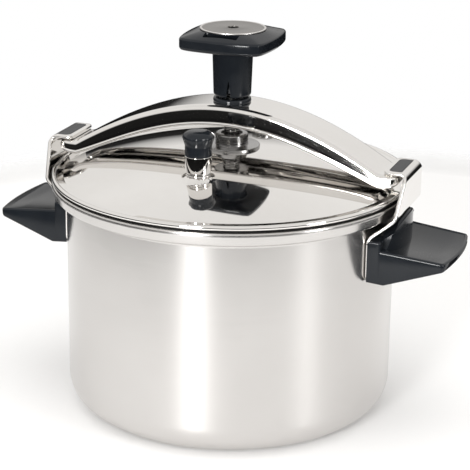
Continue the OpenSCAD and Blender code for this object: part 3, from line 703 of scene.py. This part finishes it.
def lid_points():
    """The lid's profile turned about its axis. The dome is z = c + sqrt(R2 - r2), and near a valve it
    is drawn to that valve's flat seat with a soft step."""
    dome_end = dome_edge - 1.2
    boss_r, boss_soft = 8.4, 2.2
    r = np.linspace(0, dome_end, 90)
    upper = np.column_stack([r, dome_at(r)])
    slope = (dome_end, dome_at(dome_end))
    corner = rounded([slope, (dome_edge, ring_z), (bead_x - 1.5, ring_z)], (0, 1.0, 0), 4)[1:]
    bead = arc((bead_x, bead_z), bead_r, 152, -166, 30)
    lower = np.column_stack([r, dome_c + np.sqrt((dome_sphere - lid_t) ** 2 - r ** 2)])[::-1]
    lower = lower[lower[:, 1] > seat_z + 0.2]
    profile = np.vstack([upper, corner, bead, [(dome_edge, seat_z)], lower])
    points = revolved(profile, around=288)
    for y, seat in ((nozzle_y, nozzle_seat), (safety_y, safety_seat)):
        away = np.hypot(points[..., 0], points[..., 1] - y)
        flat = smooth((boss_r + boss_soft - away) / boss_soft)
        level_at = np.where(np.arange(len(profile)) < len(r), seat, seat - lid_t)[:, None]
        points[..., 2] += flat * (level_at - points[..., 2])
    return points


lid = piece("lid_sheet", lid_points(), crease=30)
settle(lid, polished_steel, "lid", "polished_steel", "lid_dome")

# The gasket is a moulded ring of silicone rubber that snaps under the flat ring.
rubber, tree, shader = new_material("rubber", (0.02, 0.02, 0.021), 0.0, 0.55)
pores = noise(tree, stretched(tree, 1, 1, 1), 700.0, 4.0, 0.6)
tree.links.new(between(tree, pores, 0.3, 0.7, 0.45, 0.65), shader.inputs["Roughness"])
tint(tree, shader, pores, (0.015, 0.015, 0.016), (0.03, 0.03, 0.031))
bump(tree, shader, pores, 0.03, 0.4)
for node in ("lid_gasket", "nozzle_seal", "safety_valve_seal"):
    dress(node, rubber)


# ---- Thrust cup and clamp screw ----
# The cup is turned steel, welded on the dome. The screw's foot turns in it, and its thread runs up
# through the bush into the knob.


def turned_metal(name, low, high, smoothest, roughest, strength):
    """A lathe-turned metal: its fine lines change its colour, its roughness and its height."""
    material, tree, shader = new_material(name, high, 1.0, smoothest)
    lines = placed(material, level_lines, Depth=1.0)
    rough = between(tree, lines.outputs["Lines"], 0.3, 0.7, smoothest, roughest)
    tree.links.new(rough, shader.inputs["Roughness"])
    tint(tree, shader, lines.outputs["Lines"], low, high)
    bump(tree, shader, lines.outputs["Height"], 0.01, strength)
    return material


machined_steel = turned_metal("machined_steel", (0.33, 0.325, 0.32), (0.43, 0.425, 0.42), 0.16, 0.32, 0.4)

cup_high = box_mm("thrust_cup")[1]
screw_low, screw_high = box_mm("clamp_screw")
cup_r = cup_high[0]
hub_r = 11
cup_z = cup_high[2]
foot_r = screw_high[0]
foot_z = screw_low[2]
base_r = dome_sphere + 0.05
weld = arc((0, dome_c), base_r, 90, math.degrees(math.acos(cup_r / base_r)), 8)
bore = foot_r + 0.05
step_z = dome_top + 1.2
cup_floor = foot_z - 0.2
cup_steps = rounded([(cup_r, dome_top + 0.6), (cup_r, step_z), (hub_r, step_z), (hub_r, cup_z),
                     (bore, cup_z), (bore, cup_floor), (0, cup_floor)], (0, 0.4, 0.5, 1.2, 0.3, 0, 0))
cup_profile = np.vstack([weld, cup_steps])
turned("screw_cup", cup_profile, machined_steel, "lid", "machined_steel", "thrust_cup")
dress("foot_circlip", machined_steel)


def thread_points(core, crest, pitch, low, high):
    """A screw thread: the radius at angle a and height z is core + (crest - core) times a rounded
    triangle wave of z / pitch - a / 360 degrees, which fades out at both ends."""
    a = np.linspace(0, 2 * np.pi, 48, endpoint=False)[None, :]
    z = np.arange(low, high, pitch / 8)[:, None]
    wave = 0.5 + np.arcsin(0.97 * np.sin(2 * np.pi * (z / pitch - a / (2 * np.pi)))) / np.pi
    fade = smooth((z - low) / pitch) * smooth((high - z) / pitch)
    r = core + (crest - core) * wave * fade
    return np.stack([r * np.cos(a), r * np.sin(a), z + 0 * a], axis=-1)


screw_r = foot_r - 1.3
neck_z = cup_z + 0.6
screw_core = screw_r - 0.9
thread = thread_points(screw_core, screw_r, 2.0, neck_z, screw_high[2])
foot_top = foot_z + 3.3
shank = revolved(rounded([(0, foot_z), (foot_r, foot_z), (foot_r, foot_top), (screw_core, foot_top),
                          (screw_core, neck_z - 0.1)], (0, 0.6, 0.2, 0, 0)), around=48)
screw = piece("threaded_screw", capped(np.concatenate([shank, thread])))
settle(screw, machined_steel, "knob", "machined_steel", "clamp_screw")


# ---- Steam nozzle and pressure weight ----
# The nozzle is screwed through the lid. The weight, a turned steel body with a black cap, hangs over
# its spout on a needle and lets steam out when it lifts.

needle_low, needle_high = box_mm("weight_needle")
weight_low, weight_high = box_mm("pressure_weight")
top_high = box_mm("weight_cap")[1]
weight_r = weight_high[0]
weight_z0, weight_z1 = weight_low[2], weight_high[2]
cap_z1 = top_high[2]
wide_r = top_high[0]
stem_r = 4
spout_r = 3.6
jet_r = 1.3
spout_z = nozzle_high[2]
flange_r = weight_r - 0.7
flange_z = weight_z0 - 0.3
nozzle_profile = rounded([(0, nozzle_low[2]), (stem_r, nozzle_low[2]), (stem_r, nozzle_seat),
                          (flange_r, nozzle_seat), (flange_r, flange_z), (spout_r + 0.8, flange_z),
                          (spout_r, flange_z + 1), (spout_r, spout_z), (jet_r, spout_z),
                          (jet_r, spout_z - 2), (0, spout_z - 2)],
                         (0, 0.4, 0, 0.5, 0.6, 0.4, 0.4, 0.3, 0, 0, 0))
turned("nozzle_body", nozzle_profile, polished_steel, "lid", "polished_steel", "steam_nozzle", y=nozzle_y)
dress("nozzle_nut", machined_steel)

cavity_r = spout_r + 0.6
cavity_z = weight_z0 + 6.8
step_r = weight_r - 0.9
pin_bore = 2.05
weight_profile = rounded([(cavity_r, weight_z0), (step_r, weight_z0), (step_r, weight_z0 + 1.1),
                          (weight_r, weight_z0 + 1.5), (weight_r, weight_z1 - 0.2),
                          (weight_r - 1, weight_z1), (pin_bore, weight_z1), (pin_bore, cavity_z),
                          (cavity_r, cavity_z)],
                         (0.2, 0.5, 0.15, 0.3, 0.3, 0.2, 0, 0, 0), closed=True)
turned("weight_body", weight_profile, polished_steel, "weight", "polished_steel", "pressure_weight",
       y=nozzle_y, ring=True)

cap_h = cap_z1 - weight_z1
skirt_r = weight_r + 0.1


def cap_points():
    """The cap's profile turned about the weight's axis: a skirt that widens upwards to a domed top. The
    wide part is drawn in by eight shallow finger flats."""
    waist, wide, flats, flat_d = 0.42, 0.72, 8, 0.035
    lift = np.linspace(0.12, np.pi / 2, 16)
    skirt = rounded([(0, weight_z1 + 0.05), (skirt_r, weight_z1 + 0.05), (skirt_r, weight_z1 + cap_h * waist),
                     (wide_r, weight_z1 + cap_h * wide)], (0, 0.4, 4, 0), 6)
    dome = np.column_stack([wide_r * np.cos(lift) ** 0.62,
                            weight_z1 + cap_h * (wide + (1 - wide) * np.sin(lift))])
    profile = np.vstack([skirt, dome])
    points = revolved(profile, (0, nozzle_y), 128)
    height = profile[:, 1]
    share = smooth((height - weight_z1 - 0.45 * cap_h) / (0.25 * cap_h))
    share = share * smooth((cap_z1 - height) / (0.15 * cap_h))
    a = np.linspace(0, 2 * np.pi, 128, endpoint=False)
    draw = 1 - flat_d * share[:, None] * (0.5 + 0.5 * np.cos(flats * a))[None, :] ** 2
    points[..., 0] *= draw
    points[..., 1] = nozzle_y + (points[..., 1] - nozzle_y) * draw
    return points


cap = piece("weight_grip", cap_points())
settle(cap, black_plastic, "weight", "black_plastic", "weight_cap")

brass = turned_metal("brass", (0.66, 0.50, 0.24), (0.76, 0.60, 0.32), 0.18, 0.34, 0.3)
pin_r = 2
needle_profile = rounded([(0, needle_low[2]), (0.4, needle_low[2]), (pin_r, needle_low[2] + 2.3),
                          (pin_r, needle_high[2]), (0, needle_high[2])], (0, 0.2, 0.2, 0.2, 0))
turned("needle_pin", needle_profile, brass, "needle", "brass", "weight_needle", y=nozzle_y, around=48)


# ---- Safety valve ----
# A turned steel body screwed through the lid behind the bow. A spring holds its plunger down until
# the pressure is too high, and the pin then shows.

safety_r = safety_high[0]
safety_z = safety_high[2]
guide_r, room_r = 2.1, 4.2
room_z0, room_z1 = safety_seat + 0.4, safety_z - 1.6
valve_profile = rounded([(0, safety_low[2]), (stem_r, safety_low[2]), (stem_r, safety_seat),
                         (safety_r, safety_seat), (safety_r, safety_z - 2), (safety_r - 2, safety_z),
                         (guide_r, safety_z), (guide_r, room_z1), (room_r, room_z1), (room_r, room_z0),
                         (0, room_z0)], (0, 0.4, 0, 0.5, 0.8, 0.8, 0.2, 0, 0, 0, 0))
turned("valve_body", valve_profile, machined_steel, "lid", "machined_steel", "safety_valve_body", y=safety_y)
plunger_low, plunger_high = box_mm("safety_valve_plunger")
plunger_r = plunger_high[0]
plate_top = plunger_low[2] + 1
pin_profile = rounded([(0, plunger_low[2]), (plunger_r, plunger_low[2]), (plunger_r, plate_top),
                       (pin_r, plate_top), (pin_r, plunger_high[2]), (0, plunger_high[2])],
                      (0, 0.2, 0.2, 0, 0.5, 0))
turned("valve_pin", pin_profile, brass, "plunger", "brass", "safety_valve_plunger", y=safety_y, around=48)
for node in ("safety_valve_nut", "safety_valve_spring", "handle_bosses", "handle_screws"):
    dress(node, machined_steel)


# ---- Clamp bow ----
# One pressed channel of thick polished steel. Its flanges stiffen the arch, their lower edge is
# rolled to a thin lip, and both ends close round the tongue like the bow of a boat.

bow_high = box_mm("clamp_bow")[1]
bow_tip = bow_high[0]
bow_half = bow_high[1]
tongue_half = 17.8
crown_z = bow_high[2]
bow_rise = 35.1
bow_knee = rim_r - 14
bow_t = 2.0
flange_d, flange_end_d = 13.4, 9.2
arch_k = 0.066


def bow_top(x):
    """Height of the bow's top at x: crown - rise ((1 + k) s2 - k s4), with s = |x| / knee up to 1."""
    s = np.minimum(np.abs(x) / bow_knee, 1)
    return crown_z - bow_rise * ((1 + arch_k) * s ** 2 - arch_k * s ** 4)


def flange_depth(x):
    """Depth of the flange at x. It shrinks along the arch, and round the tip it curls up as a quarter
    of an ellipse does."""
    s = np.minimum(np.abs(x) / bow_knee, 1)
    curl_x = bow_knee + 2
    end = np.clip((np.abs(x) - curl_x) / (bow_tip - curl_x), 0, 1)
    depth = flange_d + (flange_end_d - flange_d) * s ** 6
    least = 3.0
    return least + (depth - least) * np.sqrt(1 - end ** 2)


def bow_outline():
    """The bow from above: a rounded rectangle whose half width falls with x2 and whose ends are drawn
    to an arc about the screw's axis."""
    path = rounded([(-bow_tip, -bow_half), (bow_tip, -bow_half), (bow_tip, bow_half), (-bow_tip, bow_half)],
                   (6, 6, 6, 6), 16, closed=True)
    path = np.vstack([path, path[:1]])
    long = resampled(path, 1441)[:-1]
    x, y = long.T
    y = y * (1 + (tongue_half / bow_half - 1) * (x / bow_tip) ** 2)
    x = x - np.sign(x) * (bow_tip - np.sqrt(bow_tip ** 2 - y ** 2)) * (np.abs(x) / bow_tip) ** 8
    fine_end, coarse_step = 14, 4
    near = np.abs(x) > bow_tip - fine_end
    keep = near | (np.arange(len(x)) % coarse_step == 0)
    return np.column_stack([x, y])[keep]


def bow_points():
    """A tray profile carried around the outline. A profile point lies inset from the outline and
    drop below the top: the top face, the bend, the flange that leans out downwards, the round lip, and
    back up inside."""
    outline = bow_outline()
    ahead = np.roll(outline, -1, axis=0) - np.roll(outline, 1, axis=0)
    inward = np.stack([-ahead[:, 1], ahead[:, 0]], axis=-1)
    inward /= np.linalg.norm(inward, axis=1)[:, None]
    depth = flange_depth(outline[:, 0])
    full_bend, full_lip, full_lean, neck = 3.6, 1.15, 0.6, 0.45
    sheet = np.minimum(bow_t, depth * 0.4)
    bend = np.minimum(full_bend, depth * 0.4)
    lip = np.minimum(full_lip, depth * 0.2)
    flare = neck + np.minimum(full_lean, depth * 0.05)
    inner = np.maximum(bend - sheet, 0.3)
    straight = depth - 2 * lip - bend
    turn = np.radians(np.linspace(0, 90, 9))
    spine_end = bow_tip - tongue_half
    spine = np.column_stack([np.clip(outline[:, 0], -spine_end, spine_end), 0 * outline[:, 0]])
    rows = []

    def row(inset, drop, k=0.0):
        at = outline + inward * inset[:, None]
        at = at + (spine - at) * k
        rows.append(np.column_stack([at, bow_top(at[:, 0]) - drop]))

    across = 1 - np.linspace(0, 1, 10)
    for k in across:
        row(flare + bend, 0, k)
    for a in turn[1:]:
        row(flare + bend * (1 - np.sin(a)), bend * (1 - np.cos(a)))
    for k in (0.3, 0.6, 0.9):
        row(neck + (flare - neck) * (1 - k), bend + straight * k)
    for a in np.radians(np.linspace(150, -150, 13)):
        row(lip * (1 - np.sin(a)), depth - lip + lip * np.cos(a))
    for k in (0.9, 0.6, 0.3):
        row(sheet + neck + (flare - neck) * (1 - k), bend + straight * k)
    for a in turn[::-1]:
        row(flare + sheet + inner * (1 - np.sin(a)), sheet + inner * (1 - np.cos(a)))
    for k in across[::-1]:
        row(flare + sheet + inner, sheet, k)
    return np.array(rows)


bow = piece("bow_channel", bow_points(), crease=40)
settle(bow, polished_steel, "bow", "polished_steel", "clamp_bow")

# The bush is turned steel, with a flange that pushes up against the bow.
bush_low, bush_high = box_mm("bow_bush")
bush_bore = screw_r + 0.05
bush_neck = 9
bush_step = bush_low[2] + 5
bush_profile = rounded([(bush_bore, bush_low[2]), (bush_high[0], bush_low[2]), (bush_high[0], bush_step),
                        (bush_neck, bush_step), (bush_neck, bush_high[2]), (bush_bore, bush_high[2])],
                       (0.3, 0.8, 0.8, 0, 0.4, 0.3), closed=True)
turned("bush_body", bush_profile, machined_steel, "bush", "machined_steel", "bow_bush", ring=True)

# The black ring under the knob is moulded and glossy. Its underside is let into the bow's top.
ring_high = box_mm("bow_collar")[1]
ring_r = ring_high[0]
ring_bore = 9.2
ring_z0 = crown_z - 1.2
ring_profile = rounded([(ring_bore, ring_z0), (ring_r - 0.4, ring_z0), (ring_r, crown_z + 0.6),
                        (ring_r - 0.5, ring_high[2]), (ring_bore, ring_high[2])],
                       (0, 0.4, 1.0, 1.1, 0.3), 6, closed=True)
turned("bow_ring", ring_profile, black_plastic, "bow", "black_plastic", "bow_collar", around=128, ring=True)


# ---- Knob ----
# Moulded black plastic: a column that widens into a square plate with bowed sides. The steel disc in
# its top is brushed in rings, and a bolt in the middle holds the knob on the screw.

knob_low, knob_high = box_mm("knob_grip")
disc_low, disc_high = box_mm("knob_disc")
knob_half = knob_high[0]
disc_r = disc_high[0]
disc_z = disc_high[2]
column_r = 13.6
column_foot_r = 12.5
crown_h = 3.6
plate_h = 8
plate_z1 = knob_high[2] - crown_h
plate_z0 = plate_z1 - plate_h
disc_hole = 3.7
bore_r = 9.6


def square_outline(a, half, bulge=3.4, corner=1.25):
    """Radius of a square with bowed sides at angle a, over its half side. A side is an arc of radius R
    about a point c behind the middle, so r = sqrt(R2 - c2 sin2 a) - c cos a; the corners are rounded
    by a soft minimum with a circle."""
    sweep = (half ** 2 + bulge ** 2) / (2 * bulge)
    c = sweep - half
    b = (a + np.pi / 4) % (np.pi / 2) - np.pi / 4
    side = np.sqrt(sweep ** 2 - (c * np.sin(b)) ** 2) - c * np.cos(b)
    power = 34
    return (side ** -power + (half * corner) ** -power) ** (-1 / power) / half


def knob_points():
    """Level loops of radius s (1 + m (q(a) - 1)), where q is the square's outline: m is 0 on the round
    column and at the disc, and 1 on the plate."""
    a = np.linspace(0, 2 * np.pi, 256, endpoint=False)
    q = square_outline(a, knob_half)
    lip_r = disc_r + 0.9
    disc_z0 = disc_low[2] - 0.1
    side = rounded([(bore_r, knob_low[2] + 3), (bore_r, knob_low[2]), (column_foot_r, knob_low[2]),
                    (column_r, plate_z0), (knob_half, plate_z0), (knob_half, plate_z1),
                    (lip_r, knob_high[2] + 0.3), (lip_r, disc_z0), (disc_hole, disc_z0),
                    (disc_hole, disc_low[2] - 8)], (0, 0.3, 2.2, 2.4, 2.6, 1.9, 0.35, 0, 0, 0), 8)
    out = smooth((side[:, 0] - column_r - 0.5) / (knob_half - column_r - 5))
    column_rows = 20
    top = (side[:, 1] > plate_z1 - 0.5) & (np.arange(len(side)) > column_rows)
    m = np.where(top, smooth((side[:, 0] - lip_r) / (knob_half - disc_r - 2.5)), out)
    radius = side[:, :1] * (1 + m[:, None] * (q[None, :] - 1))
    return np.stack([radius * np.cos(a), radius * np.sin(a), side[:, 1:] + 0 * radius], axis=-1)


knob = piece("knob_body", capped(knob_points()), crease=40)

# A shallow recess lies in front of the disc, and a slit runs up the column's front from its foot.
recess_half = 12
recess_front, recess_back = 4.6 - knob_half, 4 - disc_r
recess = rounded([(-recess_half, recess_front), (recess_half, recess_front), (recess_half, recess_back),
                  (-recess_half, recess_back)], (0.8, 0.8, 0.8, 0.8), 4, closed=True)
recess = resampled(np.vstack([recess, recess[:1]]), 61)[:-1]
recess_levels = [(0.4, knob_high[2] - 3.4), (0, knob_high[2] + 3)]
carve(knob, piece("recess", stacked(recess, recess_levels)), crease=40)
slit = np.array([(-1.5, 0), (1.5, 0), (1.3, 4), (0.7, 9), (0.12, 12.5), (-0.12, 12.5), (-0.7, 9),
                 (-1.3, 4)])
slit = resampled(np.vstack([slit, slit[:1]]), 65)[:-1]
slit_front, slit_back = -18, -9.5
slit_turn = math.radians(8)
slit_rows = [np.column_stack([slit[:, 0] * math.cos(slit_turn) - y * math.sin(slit_turn),
                              slit[:, 0] * math.sin(slit_turn) + y * math.cos(slit_turn),
                              knob_low[2] - 0.6 + slit[:, 1]]) for y in (slit_front, slit_back)]
carve(knob, piece("slit", capped(np.array(slit_rows))), crease=40)
settle(knob, black_plastic, "knob", "black_plastic", "knob_grip")


def away_from(tree, centre):
    """The level distance from an upright axis through centre, in metres."""
    node = tree.nodes.new("ShaderNodeVectorMath")
    node.operation = "DISTANCE"
    tree.links.new(stretched(tree, 1, 1, 0), node.inputs[0])
    node.inputs[1].default_value = centre
    return node.outputs["Value"]


disc_steel, tree, shader = new_material("disc_steel", (0.26, 0.25, 0.235), 1.0, 0.3)
from_middle = away_from(tree, (0, 0, 0))
spread = tree.nodes.new("ShaderNodeCombineXYZ")
tree.links.new(maths(tree, "MULTIPLY", from_middle, 3800.0), spread.inputs["X"])
rings = noise(tree, spread.outputs["Vector"], 1.0, 3.0, 0.7)
wiped = placed(disc_steel, haze, Size=45.0)
# A painted highlight: the ring just inside the disc's edge is painted much lighter, as if it catches the
# light.
rim = between(tree, from_middle, (disc_r - 1.8) * MM, (disc_r - 1.3) * MM)
# The tint mixes the real brushed rings with the painted rim highlight.
rings_and_rim_highlight = maths(tree, "MAXIMUM", maths(tree, "MULTIPLY", rings, 0.28), rim)
tint(tree, shader, rings_and_rim_highlight, (0.19, 0.18, 0.168), (0.74, 0.72, 0.70))
rough = maths(tree, "MULTIPLY_ADD", rings, 0.16, between(tree, wiped.outputs["Mask"], 0, 1, 0.2, 0.3))
tree.links.new(rough, shader.inputs["Roughness"])
bump(tree, shader, rings, 0.008, 0.4)

groove_z = disc_z - 0.18
disc_profile = rounded([(disc_hole, disc_low[2]), (disc_r, disc_low[2]), (disc_r, disc_z),
                        (disc_r - 1.3, disc_z), (disc_r - 1.5, groove_z), (disc_r - 1.9, groove_z),
                        (disc_r - 2.1, disc_z), (disc_hole, disc_z)],
                       (0, 0.2, 0.35, 0.1, 0.05, 0.05, 0.1, 0.2), 4, closed=True)
turned("disc_plate", disc_profile, disc_steel, "knob", "disc_steel", "knob_disc",
       around=192, ring=True, crease=50)
dress("knob_bolt", machined_steel)


# ---- Table, light and background ----
# A pale round table top fades out into a white room. Polished steel mirrors a room that is bright
# above and dark below the horizon. Two low soft lights in front make the bands on the pot's wall, and
# one overhead lights the table.

table, tree, shader = new_material("table_top", (0.86, 0.86, 0.86), 0.0, 0.6, Specular_IOR_Level=0.2)
faded = between(tree, away_from(tree, (0.03, 0.08, 0)), 0.50, 0.60, 1.0, 0.0)
speck = noise(tree, stretched(tree, 1, 1, 1), 240.0, 3.0)
tint(tree, shader, speck, (0.89, 0.89, 0.89), (0.91, 0.908, 0.905))
tree.links.new(faded, shader.inputs["Alpha"])
table_r, table_z0, table_z1 = 720, -4, -0.05
table_top = piece("table_top", revolved([(0, table_z0), (table_r, table_z0), (table_r, table_z1),
                                         (0, table_z1)], around=96))
table_top.data.materials.append(table)

world = bpy.data.worlds.new("room")
bpy.context.scene.world = world
world.use_nodes = True
tree = world.node_tree
background = tree.nodes["Background"]
coordinate = tree.nodes.new("ShaderNodeTexCoord")
split = tree.nodes.new("ShaderNodeSeparateXYZ")
tree.links.new(coordinate.outputs["Generated"], split.inputs["Vector"])
ramp_node = tree.nodes.new("ShaderNodeValToRGB")
tree.links.new(between(tree, split.outputs["Z"], -1, 1), ramp_node.inputs["Fac"])
stops = ((0.0, 0.04), (0.40, 0.008), (0.515, 0.02), (0.56, 0.50), (0.62, 0.88), (0.80, 0.95),
         (1.0, 0.85))
elements = ramp_node.color_ramp.elements
for place, light in stops[1:-1]:
    elements.new(place)
for element, (place, light) in zip(elements, stops):
    element.position = place
    element.color = (light, light * 0.985, light * 0.965, 1)
rays = tree.nodes.new("ShaderNodeLightPath")
choose = tree.nodes.new("ShaderNodeMix")
choose.data_type = "RGBA"
tree.links.new(rays.outputs["Is Camera Ray"], choose.inputs["Factor"])
tree.links.new(ramp_node.outputs["Color"], choose.inputs["A"])
choose.inputs["B"].default_value = (1, 1, 1, 1)
tree.links.new(choose.outputs["Result"], background.inputs["Color"])


def soft_light(name, heading, lift, distance, width, height, power, in_mirrors=True):
    """An area light that looks at the middle of the pot from a heading, clockwise from the front as
    seen from above, and a lift above the table, both in degrees."""
    data = bpy.data.lights.new(name, "AREA")
    data.shape = "RECTANGLE"
    data.size, data.size_y = width, height
    data.energy = power
    light = bpy.data.objects.new(name, data)
    light.visible_glossy = in_mirrors
    h, e = math.radians(heading), math.radians(lift)
    place = Vector((math.sin(h) * math.cos(e), -math.cos(h) * math.cos(e), math.sin(e))) * distance
    target = Vector((0, 0, 0.1))
    light.location = target + place
    light.rotation_euler = (-place).to_track_quat("-Z", "Y").to_euler()
    bpy.context.scene.collection.objects.link(light)


soft_light("front_left", -3, 10, 1.6, 0.34, 0.6, 20)
soft_light("front_right", 72, 10, 1.6, 0.30, 0.6, 7)
soft_light("overhead", 0, 86, 1.5, 1.2, 1.2, 7, in_mirrors=False)

bpy.context.scene.view_settings.view_transform = "Standard"
